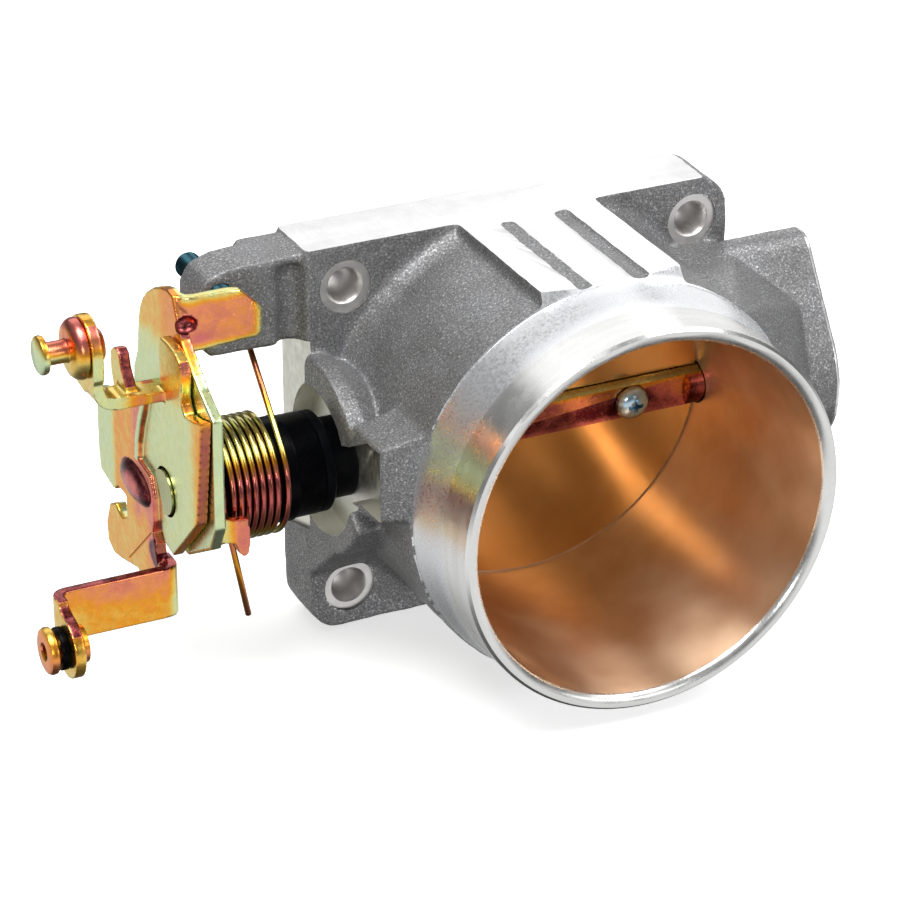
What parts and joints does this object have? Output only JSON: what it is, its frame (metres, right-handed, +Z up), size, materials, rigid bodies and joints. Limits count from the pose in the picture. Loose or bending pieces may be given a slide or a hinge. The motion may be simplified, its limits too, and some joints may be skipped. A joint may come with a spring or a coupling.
{
  "type": "cable-operated throttle body",
  "caption": "Cast throttle body with a turned inlet, a butterfly plate on a cross shaft, stamped cable levers, a coiled return spring and a sensor pad.",
  "frame": {"origin": "the bore's axis on the rear face of the mounting flange", "axes": "+Y out of the rear face towards the manifold, +X along the throttle shaft towards the sensor pad, +Z up"},
  "size_m": [0.1781, 0.0914, 0.0911],
  "materials": {
    "cast_aluminium": "sand cast with turned and milled faces",
    "plated_steel": "yellow zinc plate with iridescence",
    "plate_brass": "turned",
    "bronze": "sintered",
    "bright_steel": "bright zinc",
    "spring_steel": "drawn wire, bronze tint",
    "black_plastic": "satin moulded",
    "black_rubber": "matte"
  },
  "bodies": {
    "housing_body": {"housing": "cast_aluminium", "stop_screw": "bright_steel", "spring_guide": "black_plastic", "dust_seal": "black_rubber", "left_seal": "black_rubber", "left_bearing": "bronze", "right_bearing": "bronze", "right_seal": "black_rubber", "return_spring": "spring_steel"},
    "throttle_rotor": {"throttle_shaft": "plated_steel", "throttle_plate": "plate_brass", "plate_screw_left": "bright_steel", "plate_screw_right": "bright_steel", "throttle_lever": "plated_steel", "stop_lever": "plated_steel", "cable_stud": "plated_steel", "rod_bushing": "plated_steel", "rod_spacer": "black_plastic", "retaining_clip": "bright_steel", "thrust_washer": "bright_steel"}
  },
  "joints": [
    {"name": "throttle", "type": "hinge", "parent": "housing_body", "child": "throttle_rotor", "pos_m": [0, -0.0208, 0], "axis": [1, 0, 0], "range_deg": [0, 83.2], "stiffness_Nm_per_rad": 0.25, "springref_deg": -85.94, "deforming": ["return_spring"]}
  ]
}
